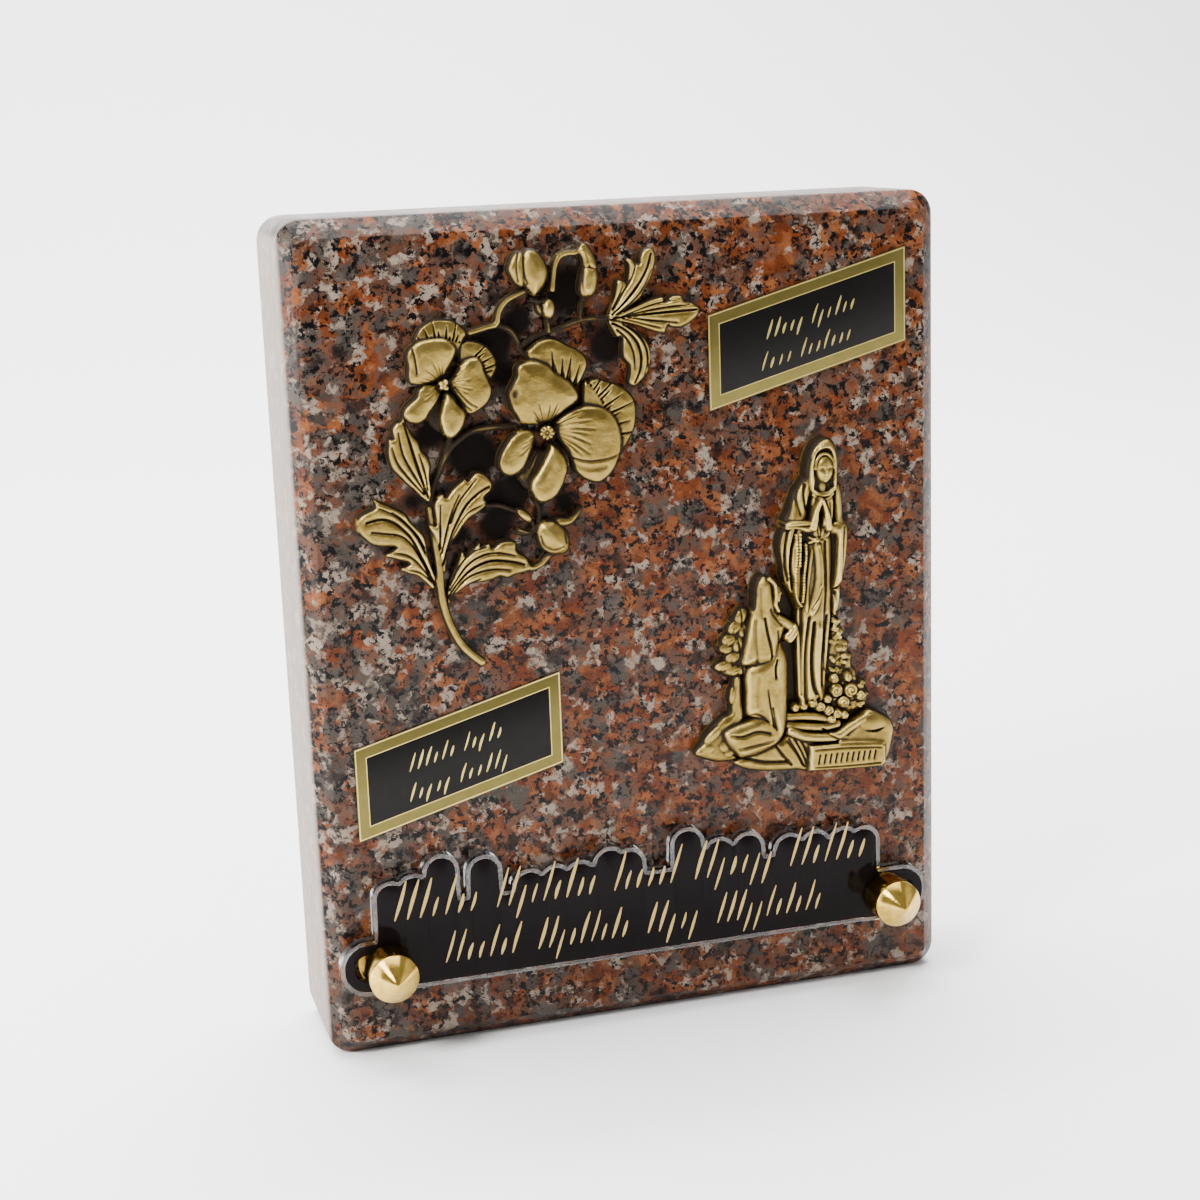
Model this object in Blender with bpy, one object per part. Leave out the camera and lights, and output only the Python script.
"""A small granite memorial plaque that stands on its lower edge.

The polished slab carries, on its front face, a pierced casting of a pansy sprig, a casting of two
veiled figures on a rocky base, two foil stickers, and an acrylic text plate on two turned fixings.

The origin is the middle of the slab's underside. X runs to the right across the front, Y runs back
through the slab, Z is up, and the front face looks towards -Y. All sizes are in metres.
"""
import math

import bmesh
import bpy
from mathutils import Vector

MM = 0.001
TOUCH_GAP = 0.3 * MM
FLAT_ANGLE = math.radians(0.2)

# The slab
SLAB_WIDTH = 120 * MM
SLAB_HEIGHT = 150 * MM
SLAB_THICKNESS = 25 * MM
CORNER_RADIUS = 4.5 * MM
FRONT_CHAMFER = 3.3 * MM
BACK_CHAMFER = 0.5 * MM
CORNER_STEPS = 4

# The turned fixings and the holes that they sit in
FIXING_EDGE_LEFT = 10.5 * MM
FIXING_EDGE_RIGHT = 13.0 * MM
FIXING_HEIGHT = 18.3 * MM
FOOT_RADIUS = 4.8 * MM
FOOT_THICKNESS = 0.6 * MM
SHANK_RADIUS = 2.0 * MM
SHANK_DEPTH = 8.0 * MM
BARREL_RADIUS = 4.4 * MM
BARREL_LENGTH = 6.1 * MM
CONE_HEIGHT = 3.2 * MM
FIXING_SIDES = 24
FIXING_SMOOTH_ANGLE = 30

# The text plate
PLATE_THICKNESS = 2.2 * MM
PLATE_HEIGHT = 19.5 * MM
PLATE_DROP = 5.0 * MM
PLATE_RIGHT_STEP = 5.4 * MM
LOBE_RADIUS = 5.2 * MM
LOBE_OFFSET = 3.4 * MM
SLOT_WIDTH = 5.2 * MM
SCALLOP_SIDES = 16
SCALLOP_RADIUS = 3.4 * MM
SCALLOP_NECK = 2.7 * MM
TAIL_RADIUS = 3.06 * MM
# Each scallop's place as a share of the plate's reach, and how far it stands above the plate's top
SCALLOPS = [
    (0.045, 1.4 * MM), (0.085, 2.2 * MM), (0.135, 5.2 * MM), (0.212, 4.0 * MM),
    (0.292, 0.2 * MM), (0.34, 0.4 * MM), (0.385, 0.5 * MM), (0.44, 2.3 * MM),
    (0.475, 1.6 * MM), (0.585, 4.0 * MM), (0.645, 1.3 * MM), (0.7, 1.6 * MM),
    (0.78, 0.2 * MM), (0.83, 0.2 * MM), (0.885, 0.1 * MM), (0.925, -0.3 * MM),
]
# The places of the round tabs under the plate, as shares of its reach
TAILS = (0.343, 0.517)

# The stickers
STICKER_WIDTH = 38.0 * MM
STICKER_SIDE = 17.0 * MM
STICKER_RISE = 10.2 * MM
STICKER_THICKNESS = 0.3 * MM
STICKER_EDGE = 7.0 * MM
UPPER_STICKER_TOP_GAP = 9.8 * MM
LOWER_STICKER_GAP = 8.3 * MM

# The castings: each is drawn in millimetres across and up from the slab's lower middle, and the
# drawing is scaled so that its right edge, given by two points, gets the casting's height
SPRIG_HEIGHT = 72.0 * MM
SPRIG_DRAWN_RIGHT_EDGE = ((13.1, 72.0), (13.1, 144.0))
SPRIG_TOP_GAP = 6.0 * MM
SPRIG_STICKER_GAP = 2.0 * MM
SPRIG_RELIEF = 4.6 * MM
SPRIG_FACES = 3800
GROUP_DRAWN_RIGHT_EDGE = ((49.2, 43.8), (49.2, 107.0))
GROUP_EDGE_GAP = 10.8 * MM
GROUP_PLATE_GAP = 11.0 * MM
GROUP_STICKER_GAP = 6.0 * MM
GROUP_RELIEF = 6.4 * MM
GROUP_FACES = 3500
CASTING_GRAIN = 0.3 * MM
CASTING_SMOOTH_ANGLE = 40

# Sections of the castings' forms: pairs of place across, from -1 to 1, and share of the rise
STEM_SECTION = ((-1, 0.62), (-0.5, 0.92), (0.5, 1.0), (1, 0.62))
PETAL_RINGS = ((0.88, 0.6), (0.6, 0.95))
TABLET_RINGS = ((0.9, 1.0),)
# Where a lobe of a leaf gets a ring, as shares of the lobe, and how narrow and wide it grows
LEAF_RINGS = (0.35, 0.8, 0.92)
LOBE_TURN = 0.85
LOBE_NARROW = 0.8
LOBE_SWELL = 0.24
LEAF_TIP_SHARE = 0.1
FOLD_DEPTH = 0.06
DRAPE_ROUNDNESS = 0.45
DRAPE_LOWEST = 0.02

# Places that follow from the sizes
FACE_Y = -SLAB_THICKNESS / 2
HALF_WIDTH = SLAB_WIDTH / 2
FIXING_LEFT_X = -HALF_WIDTH + FIXING_EDGE_LEFT
FIXING_RIGHT_X = HALF_WIDTH - FIXING_EDGE_RIGHT
PLATE_BACK = FOOT_THICKNESS + 2 * TOUCH_GAP
PLATE_FRONT = PLATE_BACK + PLATE_THICKNESS
PLATE_BOTTOM = FIXING_HEIGHT - PLATE_DROP
PLATE_TOP = PLATE_BOTTOM + PLATE_HEIGHT
HOLE_RADIUS = SHANK_RADIUS + TOUCH_GAP
HOLE_DEPTH = SHANK_DEPTH + TOUCH_GAP
UPPER_STICKER_LEFT = HALF_WIDTH - STICKER_EDGE - STICKER_WIDTH
UPPER_STICKER_BASE = SLAB_HEIGHT - UPPER_STICKER_TOP_GAP - STICKER_RISE - STICKER_SIDE
LOWER_STICKER_LEFT = -HALF_WIDTH + STICKER_EDGE + TOUCH_GAP
LOWER_STICKER_BASE = PLATE_TOP + LOWER_STICKER_GAP
GROUP_BASE = PLATE_TOP + GROUP_PLATE_GAP
GROUP_HEIGHT = UPPER_STICKER_BASE - GROUP_STICKER_GAP - GROUP_BASE


def remove_everything():
    """Empties the scene."""
    for thing in list(bpy.data.objects):
        bpy.data.objects.remove(thing)


def material(name, colour, roughness, metallic):
    """One Principled material."""
    mat = bpy.data.materials.new(name)
    mat.use_nodes = True
    shader = mat.node_tree.nodes["Principled BSDF"]
    shader.inputs["Base Color"].default_value = (*colour, 1.0)
    shader.inputs["Roughness"].default_value = roughness
    shader.inputs["Metallic"].default_value = metallic
    return mat


def face_point(x, z, rise):
    """The point at x across and z up the slab that stands rise in front of its face."""
    return Vector((x, FACE_Y - rise, z))


def solid(name, rings, tip=None):
    """A closed body skinned over rings of equal count, its first ring capped flat.

    The last ring is capped too, or drawn to the point tip if there is one.
    """
    mesh = bpy.data.meshes.new(name)
    body = bmesh.new()
    loops = [[body.verts.new(p) for p in ring] for ring in rings]
    for near, far in zip(loops, loops[1:]):
        for i in range(len(near)):
            j = (i + 1) % len(near)
            body.faces.new((near[i], near[j], far[j], far[i]))
    body.faces.new(loops[0][::-1])
    if tip is None:
        body.faces.new(loops[-1])
    else:
        point = body.verts.new(tip)
        for i in range(len(loops[-1])):
            body.faces.new((loops[-1][i], loops[-1][(i + 1) % len(loops[-1])], point))
    bmesh.ops.triangulate(body, faces=body.faces)
    bmesh.ops.recalc_face_normals(body, faces=body.faces)
    body.to_mesh(mesh)
    body.free()
    thing = bpy.data.objects.new(name, mesh)
    bpy.context.collection.objects.link(thing)
    return thing


def apply_modifiers(thing):
    """Replaces the mesh by what its modifiers make of it."""
    shape = bpy.context.evaluated_depsgraph_get()
    thing.data = bpy.data.meshes.new_from_object(thing.evaluated_get(shape))
    thing.modifiers.clear()


def boolean(target, others, operation):
    """Joins or cuts the target by every other object, removes those, and merges flat faces."""
    group = bpy.data.collections.new("operands")
    for other in others:
        group.objects.link(other)
    modifier = target.modifiers.new("boolean", "BOOLEAN")
    modifier.operation = operation
    modifier.solver = "EXACT"
    modifier.operand_type = "COLLECTION"
    modifier.collection = group
    apply_modifiers(target)
    for other in others:
        bpy.data.objects.remove(other)
    bpy.data.collections.remove(group)
    body = bmesh.new()
    body.from_mesh(target.data)
    bmesh.ops.dissolve_limit(body, angle_limit=FLAT_ANGLE, verts=body.verts, edges=body.edges)
    bmesh.ops.triangulate(body, faces=body.faces)
    body.to_mesh(target.data)
    body.free()


def fuse(target, others, grain, faces):
    """Melts the target and the others into one skin of the given grain, thinned to so many faces."""
    body = bmesh.new()
    for thing in [target] + others:
        body.from_mesh(thing.data)
    body.to_mesh(target.data)
    body.free()
    for other in others:
        bpy.data.objects.remove(other)
    skin = target.modifiers.new("skin", "REMESH")
    skin.mode = "VOXEL"
    skin.voxel_size = grain
    apply_modifiers(target)
    thin = target.modifiers.new("thin", "DECIMATE")
    thin.use_collapse_triangulate = True
    thin.ratio = faces / (2 * len(target.data.polygons))
    apply_modifiers(target)


def finish(thing, mat, smooth_angle=None):
    """Gives a piece its material and, if it is round, its smooth shading."""
    thing.data.materials.clear()
    thing.data.materials.append(mat)
    if smooth_angle is not None:
        thing.data.shade_smooth()
        thing.data.set_sharp_from_angle(angle=math.radians(smooth_angle))
    return thing


def rounded_rectangle(inset):
    """The slab's outline, drawn in by inset, as pairs of x and z."""
    radius = max(CORNER_RADIUS - inset, BACK_CHAMFER)
    across = HALF_WIDTH - inset - radius
    low = inset + radius
    high = SLAB_HEIGHT - inset - radius
    corners = [(across, low), (across, high), (-across, high), (-across, low)]
    outline = []
    for quarter, (x, z) in enumerate(corners):
        for step in range(CORNER_STEPS + 1):
            turn = math.radians(90) * (quarter - 1 + step / CORNER_STEPS)
            outline.append((x + radius * math.cos(turn), z + radius * math.sin(turn)))
    return outline


def turned(x, z, profile, sides):
    """The rings of a body turned about an axis out of the face, from pairs of rise and radius."""
    rings = []
    for rise, radius in profile:
        ring = []
        for i in range(sides):
            turn = math.tau * (i + 0.5) / sides
            ring.append(face_point(x + radius * math.cos(turn), z + radius * math.sin(turn), rise))
        rings.append(ring)
    return rings


def granite_slab(mat):
    """The slab: a wide chamfer round the front face, and a blind hole for each fixing."""
    levels = [
        (SLAB_THICKNESS / 2, BACK_CHAMFER),
        (SLAB_THICKNESS / 2 - BACK_CHAMFER, 0),
        (FACE_Y + FRONT_CHAMFER, 0),
        (FACE_Y, FRONT_CHAMFER),
    ]
    rings = [[(x, y, z) for x, z in rounded_rectangle(inset)] for y, inset in levels]
    slab = solid("granite_slab", rings)
    drill = [(-HOLE_DEPTH, HOLE_RADIUS), (HOLE_RADIUS, HOLE_RADIUS)]
    holes = []
    for x in (FIXING_LEFT_X, FIXING_RIGHT_X):
        holes.append(solid("hole", turned(x, FIXING_HEIGHT, drill, FIXING_SIDES)))
    boolean(slab, holes, "DIFFERENCE")
    return finish(slab, mat)


def fixing(name, x, mat):
    """A turned fixing: shank in the slab, foot behind the plate, barrel in front, and a cone."""
    foot = TOUCH_GAP
    barrel = PLATE_FRONT + TOUCH_GAP
    profile = [
        (-SHANK_DEPTH, SHANK_RADIUS),
        (foot, SHANK_RADIUS),
        (foot, FOOT_RADIUS),
        (foot + FOOT_THICKNESS, FOOT_RADIUS),
        (foot + FOOT_THICKNESS, SHANK_RADIUS),
        (barrel, SHANK_RADIUS),
        (barrel, BARREL_RADIUS),
        (barrel + BARREL_LENGTH, BARREL_RADIUS),
    ]
    tip = face_point(x, FIXING_HEIGHT, barrel + BARREL_LENGTH + CONE_HEIGHT)
    body = solid(name, turned(x, FIXING_HEIGHT, profile, FIXING_SIDES), tip)
    return finish(body, mat, FIXING_SMOOTH_ANGLE)


def disc(x, z, radius, near, far):
    """A flat round blank standing from rise near to rise far."""
    return solid("disc", turned(x, z, [(near, radius), (far, radius)], SCALLOP_SIDES))


def bar(left, right, bottom, top, near, far):
    """A flat rectangular blank standing from rise near to rise far."""
    corners = [(left, bottom), (right, bottom), (right, top), (left, top)]
    return solid("bar", [[face_point(x, z, rise) for x, z in corners] for rise in (near, far)])


def text_plate(mat):
    """The plate: a long bar with a lobe at each fixing and scallops that follow the two rows."""
    left = FIXING_LEFT_X - LOBE_OFFSET
    right = FIXING_RIGHT_X + LOBE_OFFSET
    reach = right - left
    span = (PLATE_BACK, PLATE_FRONT)
    middle = PLATE_TOP - SCALLOP_RADIUS
    low = PLATE_BOTTOM + TOUCH_GAP
    plate = bar(left, right, PLATE_BOTTOM, FIXING_HEIGHT, *span)
    blanks = [disc(x, FIXING_HEIGHT, LOBE_RADIUS, *span) for x in (left, right)]
    blanks.append(bar(left + SCALLOP_RADIUS, right - PLATE_RIGHT_STEP, low, middle, *span))
    for share, lift in SCALLOPS:
        x = left + share * reach
        top = middle + lift
        blanks.append(disc(x, top, SCALLOP_RADIUS, *span))
        blanks.append(bar(x - SCALLOP_NECK, x + SCALLOP_NECK, FIXING_HEIGHT, top, *span))
    for share in TAILS:
        blanks.append(disc(left + share * reach, low, TAIL_RADIUS, *span))
    boolean(plate, blanks, "UNION")
    cut = (PLATE_BACK - TOUCH_GAP, PLATE_FRONT + TOUCH_GAP)
    half = SLOT_WIDTH / 2
    for x, outward in ((FIXING_LEFT_X, -1), (FIXING_RIGHT_X, 1)):
        ends = sorted((x, x + outward * LOBE_OFFSET))
        slot = bar(*ends, FIXING_HEIGHT - half, FIXING_HEIGHT + half, *cut)
        boolean(slot, [disc(end, FIXING_HEIGHT, half, *cut) for end in ends], "UNION")
        boolean(plate, [slot], "DIFFERENCE")
    plate.name = "text_plate"
    return finish(plate, mat)


def sticker(name, left, base, mat):
    """A foil sticker: upright at both ends, its long edges climbing to the right."""
    corners = [
        (left, base),
        (left + STICKER_WIDTH, base + STICKER_RISE),
        (left + STICKER_WIDTH, base + STICKER_RISE + STICKER_SIDE),
        (left, base + STICKER_SIDE),
    ]
    rises = (TOUCH_GAP, TOUCH_GAP + STICKER_THICKNESS)
    return finish(solid(name, [[face_point(x, z, rise) for x, z in corners] for rise in rises]), mat)


def smooth_curve(points, steps, closed=False):
    """Points along a smooth curve through the given ones, with steps to each stretch."""
    count = len(points)
    stretches = count if closed else count - 1
    path = []
    for i in range(stretches):
        if closed:
            near = [points[(i + k) % count] for k in (-1, 0, 1, 2)]
        else:
            near = [points[min(max(i + k, 0), count - 1)] for k in (-1, 0, 1, 2)]
        for step in range(steps):
            t = step / steps
            weights = (
                -t + 2 * t ** 2 - t ** 3,
                2 - 5 * t ** 2 + 3 * t ** 3,
                t + 4 * t ** 2 - 3 * t ** 3,
                -t ** 2 + t ** 3,
            )
            path.append(tuple(sum(w * p[k] for w, p in zip(weights, near)) / 2 for k in (0, 1)))
    if not closed:
        path.append(tuple(points[-1]))
    return path


class Casting:
    """Overlapping forms drawn in millimetres, joined into one solid with a flat back.

    A rise is a share of the casting's relief, so 1 is its highest point.
    """

    BURIED = -0.25

    def __init__(self, name, right_foot, drawn_edge, height, relief):
        self.name = name
        self.right_foot = right_foot
        self.drawn_foot = drawn_edge[0]
        self.scale = height / math.dist(*drawn_edge)
        self.relief = relief
        self.forms = []

    def point(self, x, z, rise):
        """A drawn point as a place in front of the slab's face."""
        across = self.right_foot[0] + (x - self.drawn_foot[0]) * self.scale
        up = self.right_foot[1] + (z - self.drawn_foot[1]) * self.scale
        return face_point(across, up, rise * self.relief)

    def add(self, rings, tip=None):
        """Adds one closed form from drawn rings."""
        points = [[self.point(*p) for p in ring] for ring in rings]
        self.forms.append(solid(self.name, points, None if tip is None else self.point(*tip)))

    def dome(self, outline, rim, crown, rings=PETAL_RINGS, folds=0):
        """A cushion over an outline: upright walls to the rim, then rings up to the crown.

        rim is one rise for the whole outline, or a list with a rise for each of its points.
        """
        centre = [sum(p[k] for p in outline) / len(outline) for k in (0, 1)]
        rims = rim if isinstance(rim, list) else [rim] * len(outline)
        levels = [[(x, z, self.BURIED) for x, z in outline]]
        levels.append([(x, z, r) for (x, z), r in zip(outline, rims)])
        for share, lift in rings:
            level = []
            for i, ((x, z), r) in enumerate(zip(outline, rims)):
                wave = FOLD_DEPTH * math.cos(math.tau * folds * i / len(outline)) if folds else 0
                across = centre[0] + share * (x - centre[0])
                up = centre[1] + share * (z - centre[1])
                level.append((across, up, r + (crown - r) * (lift + wave)))
            levels.append(level)
        self.add(levels, (*centre, crown))

    def sheet(self, outline, rise):
        """A flat sheet over an outline of any shape."""
        self.add([[(x, z, level) for x, z in outline] for level in (self.BURIED, rise)])

    def egg(self, centre, along, across, angle, sides, fat=0.0):
        """The outline of an oval. fat above 0 widens its far end."""
        turn = math.radians(angle)
        outline = []
        for i in range(sides):
            phase = math.tau * (i + 0.5) / sides
            u = along * math.cos(phase)
            v = across * math.sin(phase) * (1 + fat * math.cos(phase))
            x = centre[0] + u * math.cos(turn) - v * math.sin(turn)
            z = centre[1] + u * math.sin(turn) + v * math.cos(turn)
            outline.append((x, z))
        return outline

    def oval(self, centre, along, across, angle, rim, crown, sides=12, fat=0.0, folds=0):
        """A domed oval."""
        self.dome(self.egg(centre, along, across, angle, sides, fat), rim, crown, folds=folds)

    def petal(self, eye, tip, width, low, high, crown, fat=0.3, sides=14):
        """A petal from a flower's eye to its own tip, low beside the eye and high at the tip."""
        length = math.dist(eye, tip)
        centre = [(e + t) / 2 for e, t in zip(eye, tip)]
        angle = math.degrees(math.atan2(tip[1] - eye[1], tip[0] - eye[0]))
        outline = self.egg(centre, length / 2, width / 2, angle, sides, fat)
        rims = [low + (high - low) * min(math.dist(eye, p) / length, 1) for p in outline]
        self.dome(outline, rims, crown, folds=3)

    def stem(self, path, radius, rise, end_rise=None, tip_radius=None, steps=2):
        """A rounded rod lying on the face along a path, going to end_rise and tip_radius."""
        route = smooth_curve(path, steps)
        last = len(route) - 1
        rings = []
        for i, (x, z) in enumerate(route):
            before = route[max(i - 1, 0)]
            after = route[min(i + 1, last)]
            length = math.dist(before, after)
            nx, nz = (before[1] - after[1]) / length, (after[0] - before[0]) / length
            share = i / last
            r = radius if tip_radius is None else radius + (tip_radius - radius) * share
            height = rise if end_rise is None else rise + (end_rise - rise) * share
            section = [(u, part * height) for u, part in STEM_SECTION]
            section = [(-1, self.BURIED)] + section + [(1, self.BURIED)]
            rings.append([(x + nx * r * u, z + nz * r * u, h) for u, h in section])
        self.add(rings)

    def leaf(self, path, width, lobes, rim, crown, rib):
        """A leaf along its midrib's path: lobes that point forward, and the rib let in."""
        route = smooth_curve(path, 12)
        shares = [0]
        for lobe in range(lobes):
            shares += [(lobe + part) / lobes for part in LEAF_RINGS]
        shares.append(1)
        rises = (self.BURIED, rim, crown, rib, crown, rim, self.BURIED)
        section = list(zip((-1, -1, -0.5, 0, 0.5, 1, 1), rises))
        rings = []
        for share in shares:
            i = min(round(share * (len(route) - 1)), len(route) - 2)
            (x, z), (ahead_x, ahead_z) = route[i], route[i + 1]
            length = math.dist(route[i], route[i + 1])
            nx, nz = (z - ahead_z) / length, (ahead_x - x) / length
            # Widest a little past the middle, and never quite closed at either end
            swell = math.sin(math.pi * (0.05 + 0.9 * share) ** 1.25) ** 0.75
            within = share * lobes % 1
            tooth = LOBE_NARROW + (LOBE_SWELL * within if within < LOBE_TURN else 0)
            half = max(width * swell * tooth, LEAF_TIP_SHARE * width)
            rings.append([(x + nx * half * u, z + nz * half * u, h) for u, h in section])
        self.add(rings)

    def drape(self, stations, sides=8, folds=0.0, count=4, phase=0.0):
        """A standing rounded form through stations of z, left x, right x and rise, with folds."""
        rings = []
        for z, left, right, rise in stations:
            ring = [(left, z, self.BURIED)]
            for i in range(sides + 1):
                turn = math.pi * i / sides
                wave = 1 + folds * math.cos(count * turn * 2 + phase) * math.sin(turn)
                x = (left + right) / 2 - (right - left) / 2 * math.cos(turn)
                height = rise * math.sin(turn) ** DRAPE_ROUNDNESS * wave
                ring.append((x, z, max(height, DRAPE_LOWEST)))
            ring.append((right, z, self.BURIED))
            rings.append(ring)
        self.add(rings)

    def cast(self, faces, mat):
        """Fuses the forms into one body of about so many faces, and cuts its back flat."""
        body = self.forms[0]
        fuse(body, self.forms[1:], CASTING_GRAIN, faces)
        reach = (-SLAB_WIDTH, SLAB_WIDTH, -SLAB_HEIGHT, 2 * SLAB_HEIGHT)
        wall = bar(*reach, -SLAB_THICKNESS, TOUCH_GAP)
        boolean(body, [wall], "DIFFERENCE")
        return finish(body, mat, CASTING_SMOOTH_ANGLE)


def pansy_sprig(mat):
    """The sprig: one main stem, toothed leaves, two open pansies, and buds on thin stems."""
    foot = (UPPER_STICKER_LEFT - SPRIG_STICKER_GAP, SLAB_HEIGHT - SPRIG_TOP_GAP - SPRIG_HEIGHT)
    sprig = Casting("pansy_sprig", foot, SPRIG_DRAWN_RIGHT_EDGE, SPRIG_HEIGHT, SPRIG_RELIEF)

    # Stems, the main one first
    main_stem = [(-29.2, 72.0), (-33.2, 76.6), (-35.5, 81.5), (-35.9, 88), (-36.6, 94), (-36.8, 99)]
    sprig.stem(main_stem, 0.85, 0.7, end_rise=0.45, tip_radius=0.6)
    to_large = [(-37, 98), (-36.3, 102.5), (-34.3, 107.5), (-31.5, 111.6), (-27, 113.6), (-19, 112.8)]
    sprig.stem(to_large, 0.6, 0.36)
    sprig.stem([(-33.2, 109), (-32.6, 114)], 0.5, 0.34)
    to_buds = [(-30.5, 130), (-26.5, 130.9), (-23.8, 131.5), (-22.3, 134), (-18.5, 136.7)]
    sprig.stem(to_buds, 0.55, 0.45)
    sprig.stem([(-24, 131.3), (-21.4, 130), (-20, 127.4), (-18, 124)], 0.55, 0.36)
    sprig.stem([(-19.9, 126.6), (-16.5, 128.8), (-11.5, 130.2), (-8.7, 131.3), (-3.5, 130.8)], 0.5, 0.36)
    sprig.stem([(-14.7, 129.2), (-14.7, 132.5)], 0.5, 0.4)
    sprig.stem([(-8.7, 131), (-8.2, 135.5)], 0.4, 0.34)
    hook = [(-14.5, 135.6), (-14, 138.5), (-13.2, 141.4), (-11.3, 142.7), (-8.2, 142.4)]
    sprig.stem(hook, 0.62, 0.5)
    sprig.stem([(-28.5, 99.6), (-24.5, 99.7), (-21.5, 98.2)], 0.45, 0.34)
    sprig.stem([(-18.6, 103), (-17.3, 98.8), (-17.6, 95.4), (-20.4, 93.9), (-22.5, 93.4)], 0.5, 0.36)

    # Leaves, from the lowest one round to those at the right
    sprig.leaf([(-36.6, 86.4), (-39.8, 92.2), (-43.4, 97.2), (-48.6, 100.4)], 4.5, 3, 0.5, 0.72, 0.5)
    sprig.leaf([(-35.5, 87.5), (-34.3, 94), (-31.2, 99.6), (-26.4, 105.2)], 4.9, 3, 0.5, 0.72, 0.5)
    sprig.leaf([(-35.4, 83.0), (-31, 87.6), (-26, 89.8), (-19.0, 87.9)], 3.6, 3, 0.46, 0.66, 0.46)
    sprig.leaf([(-36.6, 100.2), (-38.6, 106), (-40.1, 111.5), (-40.6, 117.2)], 3.9, 3, 0.5, 0.72, 0.5)
    sprig.leaf([(-4.0, 130.4), (-0.4, 134.2), (2.6, 138.2), (4.9, 143.2)], 2.9, 3, 0.5, 0.7, 0.5)
    sprig.leaf([(-4, 130.6), (1.5, 130.9), (7.5, 131.1), (13.1, 131.2)], 3.4, 3, 0.5, 0.7, 0.5)
    sprig.leaf([(-4, 130.6), (0.5, 127.6), (1.9, 123.4), (0.2, 117.6)], 2.8, 3, 0.46, 0.66, 0.46)

    # The smaller pansy: two petals behind, five in front, then its eye
    eye = (-33.5, 121.2)
    sprig.petal(eye, (-33.7, 133.0), 9.4, 0.3, 0.5, 0.66)
    sprig.petal(eye, (-23.9, 126.9), 6.6, 0.3, 0.5, 0.66)
    sprig.petal(eye, (-38.2, 130.0), 8.8, 0.45, 0.66, 0.94)
    sprig.petal(eye, (-25.2, 119.8), 8.8, 0.45, 0.62, 0.9)
    sprig.petal(eye, (-41.0, 116.2), 5.6, 0.45, 0.62, 0.86)
    sprig.petal(eye, (-31.2, 111.9), 4.9, 0.45, 0.62, 0.88)
    sprig.oval(eye, 1.1, 1.1, 0, 0.5, 0.82, sides=8)

    # The larger pansy
    eye = (-15.8, 111.4)
    sprig.petal(eye, (-11.2, 127.8), 11.2, 0.3, 0.5, 0.66)
    sprig.petal(eye, (0.6, 116.6), 11.5, 0.3, 0.5, 0.7)
    sprig.petal(eye, (-16.4, 124.2), 12.6, 0.5, 0.74, 0.98, sides=16)
    sprig.petal(eye, (-2.6, 106.0), 11.6, 0.5, 0.72, 0.96, sides=16)
    sprig.petal(eye, (-24.8, 107.0), 7.0, 0.5, 0.66, 0.88)
    sprig.petal(eye, (-16.2, 99.4), 7.0, 0.5, 0.7, 0.96)
    sprig.petal(eye, (-20.8, 103.9), 3.0, 0.3, 0.45, 0.6)
    sprig.oval(eye, 1.5, 1.5, 0, 0.5, 0.86, sides=10)

    # Buds: the pair at the top, the hooked one, and the small ones
    sprig.oval((-19.3, 139.7), 3.5, 2.1, 100, 0.5, 0.7)
    sprig.oval((-16.8, 138.9), 3.9, 2.8, 110, 0.56, 0.86, fat=0.2)
    sprig.oval((-7.1, 141.4), 2.8, 1.6, 115, 0.5, 0.76)
    sprig.oval((-7.2, 138.0), 3.5, 1.8, 83, 0.54, 0.82)
    sprig.oval((-14.5, 133.8), 1.8, 1.2, 90, 0.4, 0.6, sides=10)
    sprig.oval((-16.4, 133.2), 1.4, 0.7, 120, 0.3, 0.45, sides=8)
    sprig.stem([(-17.5, 135.0), (-15.9, 134.2)], 0.5, 0.36)
    sprig.oval((-20.1, 97.1), 1.8, 1.2, -40, 0.4, 0.6, sides=10)
    sprig.oval((-15.0, 92.8), 3.4, 3.1, 100, 0.56, 0.84)
    sprig.stem([(-13.6, 94.6), (-11.8, 95.8), (-9.6, 97.9)], 1.0, 0.66, end_rise=0.41, tip_radius=0.25)
    sprig.stem([(-15.8, 90.4), (-17.6, 88.7), (-20.2, 88.2)], 0.8, 0.5, tip_radius=0.5)
    sprig.stem([(-18.3, 95.3), (-16.5, 94.6)], 0.5, 0.36)
    return sprig.cast(SPRIG_FACES, mat)


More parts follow.
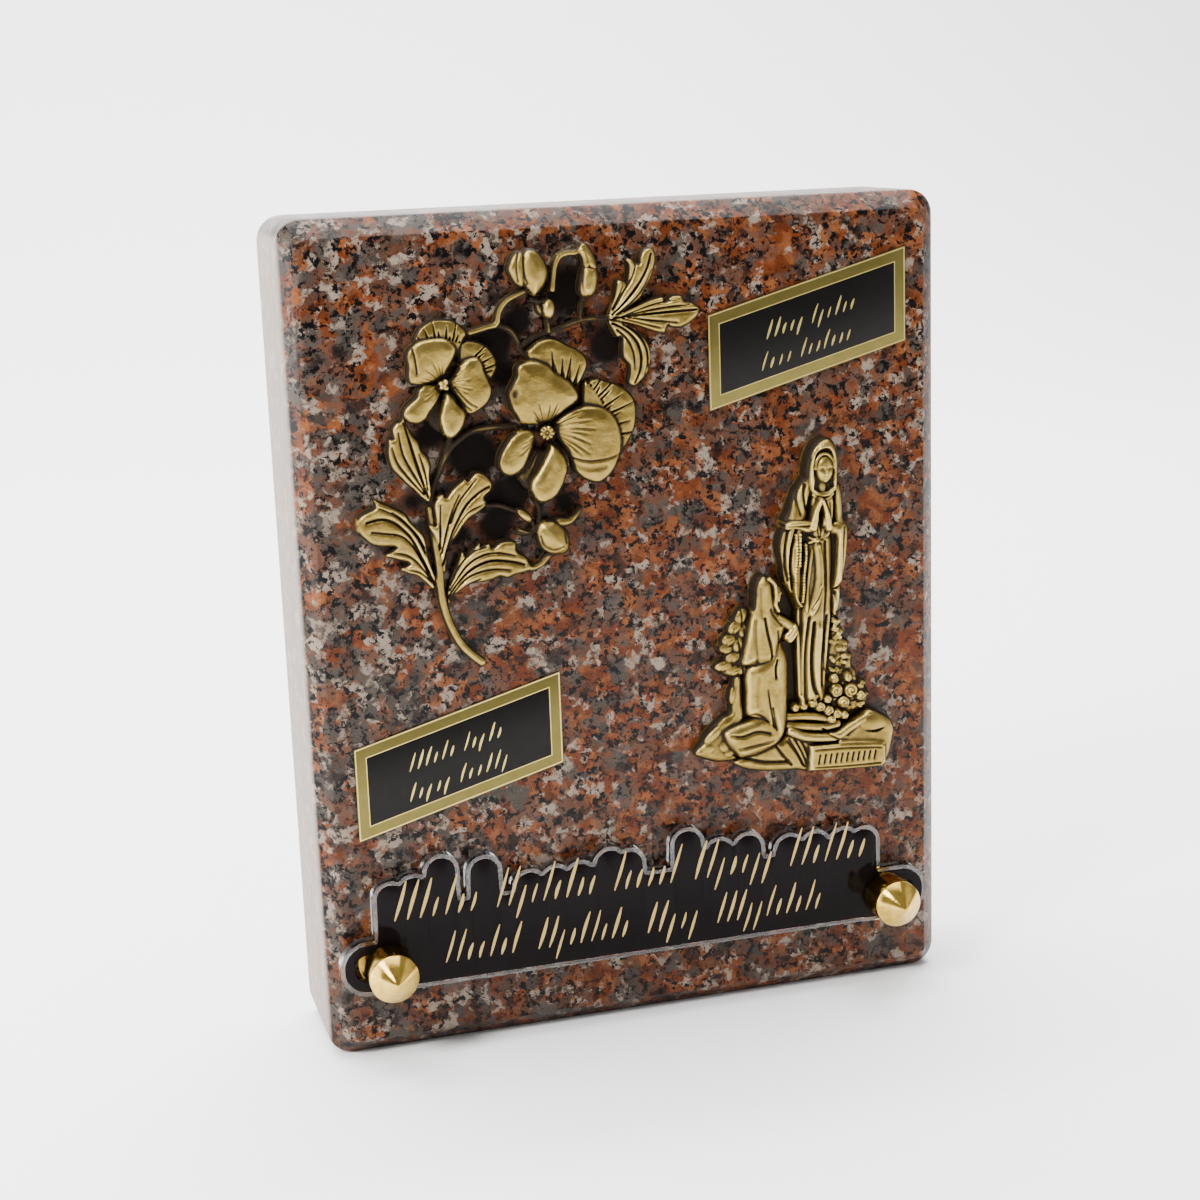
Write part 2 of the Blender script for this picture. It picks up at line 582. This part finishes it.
def figure_group(mat):
    """The group: a standing veiled figure, a kneeling one beside it, rocks, roses and a base."""
    foot = (HALF_WIDTH - GROUP_EDGE_GAP, GROUP_BASE)
    group = Casting("figure_group", foot, GROUP_DRAWN_RIGHT_EDGE, GROUP_HEIGHT, GROUP_RELIEF)

    # The backing sheet that all the forms stand on
    outline = [
        (12.5, 49.4), (20, 46.8), (33, 45.4), (46.5, 44.8), (47.6, 50.5), (44, 54.2),
        (42.5, 58.5), (40.4, 64), (38.4, 72), (39.0, 80), (39.8, 90), (38.6, 98),
        (37.4, 105.6), (34.2, 105.6), (31.6, 99), (28.2, 90.5), (28.2, 83.2), (24, 81.2),
        (20.8, 75), (16.4, 72), (15.5, 66.6), (17.2, 60), (14, 54),
    ]
    group.sheet(smooth_curve(outline, 2, closed=True), 0.26)

    # Base, ledges and the tablet
    base = [(44.6, 33, 47.4, 0.55), (46.4, 18.2, 48.4, 0.66), (48.2, 17.4, 48.6, 0.62), (50.0, 24, 48.2, 0.5)]
    group.drape(base, sides=10)
    tablet = [(32.0, 44.9), (46.2, 43.8), (47.7, 45.4), (46.6, 48.9), (32.2, 50.2)]
    group.dome(tablet, 0.78, 0.84, rings=TABLET_RINGS)
    group.stem([(27.4, 55.2), (32, 53.8), (37, 53.2), (41.5, 54.4), (46.6, 52.6)], 1.5, 0.62)
    group.stem([(28.5, 52.6), (33, 50.9), (38.4, 51.4), (43, 50.6), (48.4, 50.2)], 1.2, 0.7)
    group.oval((44.9, 53.2), 3.6, 2.0, -15, 0.42, 0.66)
    group.oval((42.6, 58.2), 2.6, 1.9, 110, 0.36, 0.6)

    # The bush and the rock behind the kneeling figure: centre, half length, half width and angle
    lumps = [
        (18.4, 74.8, 2.8, 2.2, 40),
        (17.0, 71.0, 2.7, 1.7, 10),
        (16.8, 67.0, 3.3, 2.0, 160),
        (17.8, 62.2, 3.0, 1.6, 80),
        (15.4, 56.2, 3.8, 1.8, 35),
        (12.6, 52.4, 2.8, 2.4, 60),
    ]
    for x, z, along, across, angle in lumps:
        group.oval((x, z), along, across, angle, 0.3, 0.5, folds=3)

    # The kneeling figure: trailing skirt and feet, skirt, veil, head, arm, joined hands
    group.oval((19.6, 52.2), 6.0, 3.3, 4, 0.5, 0.72, folds=3)
    group.oval((15.2, 51.2), 2.0, 2.5, 60, 0.4, 0.62, sides=10)
    skirt = [
        (50.4, 18.5, 25.6, 0.5), (53.4, 18.6, 27.4, 0.78), (58, 19.4, 27.7, 0.82), (63, 19.6, 27.8, 0.8),
        (67.6, 20.2, 27.0, 0.74), (72, 20.6, 26.6, 0.72), (76, 20.9, 26.0, 0.7), (77.6, 21.4, 25.4, 0.5),
    ]
    group.drape(skirt, sides=10, folds=0.08, count=3)
    veil = [
        (65.6, 19.0, 24.6, 0.62), (69, 19.4, 24.8, 0.84), (74, 20.4, 24.6, 0.86), (79, 21.3, 25.2, 0.88),
        (81.6, 21.9, 25.2, 0.74), (82.8, 22.9, 24.6, 0.4),
    ]
    group.drape(veil, folds=0.05, count=2)
    group.oval((25.4, 79.6), 2.3, 1.5, 70, 0.4, 0.7, sides=10)
    group.stem([(24.2, 75.2), (26.6, 72.4), (26.2, 70.4)], 1.5, 0.86)
    group.stem([(26.0, 75.4), (28.3, 72.8), (29.8, 71.6)], 0.9, 0.66)
    group.oval((28.7, 71.4), 2.1, 1.0, 60, 0.5, 0.8, sides=10)

    # The standing figure: dress, the cloak's two sides, hood and head
    dress = [
        (58.4, 30.4, 35.2, 0.5), (60, 30.4, 35.4, 0.66), (68, 30.4, 36.0, 0.72), (78, 30.4, 36.8, 0.78),
        (88, 30.8, 37.0, 0.8), (95, 31.6, 37.4, 0.74), (98.6, 33.0, 37.4, 0.62),
    ]
    group.drape(dress, sides=12, folds=0.09, count=4, phase=1.2)
    cloak_left = [
        (73.0, 29.2, 31.0, 0.4), (78, 28.0, 31.4, 0.56), (84, 26.9, 31.2, 0.66), (89, 26.4, 31.2, 0.74),
        (91.6, 26.9, 32.6, 0.9), (94, 28.0, 32.8, 0.86), (98.6, 30.2, 33.4, 0.66),
        (102.6, 31.4, 33.9, 0.6), (105.4, 32.6, 34.8, 0.45),
    ]
    group.drape(cloak_left, folds=0.12, count=3)
    cloak_right = [
        (73.4, 37.8, 39.4, 0.3), (79, 37.0, 40.0, 0.52), (84, 37.2, 40.4, 0.64), (89, 37.0, 40.9, 0.74),
        (91.6, 36.6, 40.6, 0.86), (94, 36.6, 40.2, 0.8), (98.6, 36.6, 39.4, 0.62),
        (102.6, 36.8, 39.0, 0.6), (105.4, 36.2, 38.4, 0.5),
    ]
    group.drape(cloak_right, folds=0.1, count=2)
    hood = [(103.0, 32.5, 39.0, 0.62), (105.2, 32.9, 38.7, 0.7), (106.5, 34.0, 37.9, 0.56)]
    hood.append((107.0, 35.2, 36.8, 0.4))
    group.drape(hood)
    group.oval((35.6, 101.6), 2.8, 2.0, 90, 0.5, 0.84, sides=12)

    # Sleeves, joined hands, the sash with its knot, and the two strands that hang beside it
    group.stem([(28.0, 91.6), (31, 91.4), (33.4, 91.5)], 0.95, 0.94)
    group.stem([(40.2, 90.4), (38.2, 91.2), (36.0, 91.4)], 0.95, 0.94)
    group.stem([(33.4, 90.8), (33.9, 93.4), (34.6, 95.9)], 0.75, 1.0, tip_radius=0.4)
    group.stem([(36.0, 90.8), (35.6, 93.4), (34.8, 95.9)], 0.75, 0.98, tip_radius=0.4)
    group.oval((33.7, 88.3), 1.0, 0.8, 0, 0.7, 0.92, sides=8)
    group.stem([(33.2, 88), (32.4, 82), (31.9, 76.4)], 0.55, 0.88)
    group.stem([(34.1, 88), (35.0, 83), (34.2, 78.2), (32.6, 75)], 0.6, 0.88)
    group.stem([(30.2, 90), (29.8, 84), (30.3, 77)], 0.5, 0.8)
    group.stem([(31.4, 88.4), (31.4, 83), (30.6, 77)], 0.5, 0.8)

    # The rose bush and the roses at the standing figure's feet
    bush = [(57.4, 35.0, 43.4, 0.5), (62.6, 35.4, 42.7, 0.5), (66, 35.8, 41.7, 0.46), (70, 36.2, 39.9, 0.42)]
    bush.append((73.6, 37.2, 39.0, 0.3))
    group.drape(bush, folds=0.12, count=3)
    roses = [(36.8, 60.0), (40.4, 59.6), (38.9, 57.0), (37.0, 55.6)]
    roses += [(39.0, 63.4), (33.6, 57.6), (31.3, 57.2), (28.9, 57.0)]
    for x, z in roses:
        group.oval((x, z), 1.45, 1.3, 30, 0.5, 0.72, sides=8)
    return group.cast(GROUP_FACES, mat)


def main():
    """Builds every piece with its own material."""
    remove_everything()
    granite = material("granite", (0.42, 0.30, 0.27), 0.12, 0.0)
    bronze = material("antique_bronze", (0.60, 0.48, 0.24), 0.32, 1.0)
    brass = material("polished_brass", (0.85, 0.62, 0.26), 0.16, 1.0)
    acrylic = material("black_acrylic", (0.02, 0.018, 0.02), 0.06, 0.0)
    foil = material("printed_foil", (0.05, 0.045, 0.02), 0.3, 0.2)

    granite_slab(granite)
    pansy_sprig(bronze)
    figure_group(bronze)
    text_plate(acrylic)
    fixing("fixing_left", FIXING_LEFT_X, brass)
    fixing("fixing_right", FIXING_RIGHT_X, brass)
    sticker("sticker_upper", UPPER_STICKER_LEFT, UPPER_STICKER_BASE, foil)
    sticker("sticker_lower", LOWER_STICKER_LEFT, LOWER_STICKER_BASE, foil)


main()
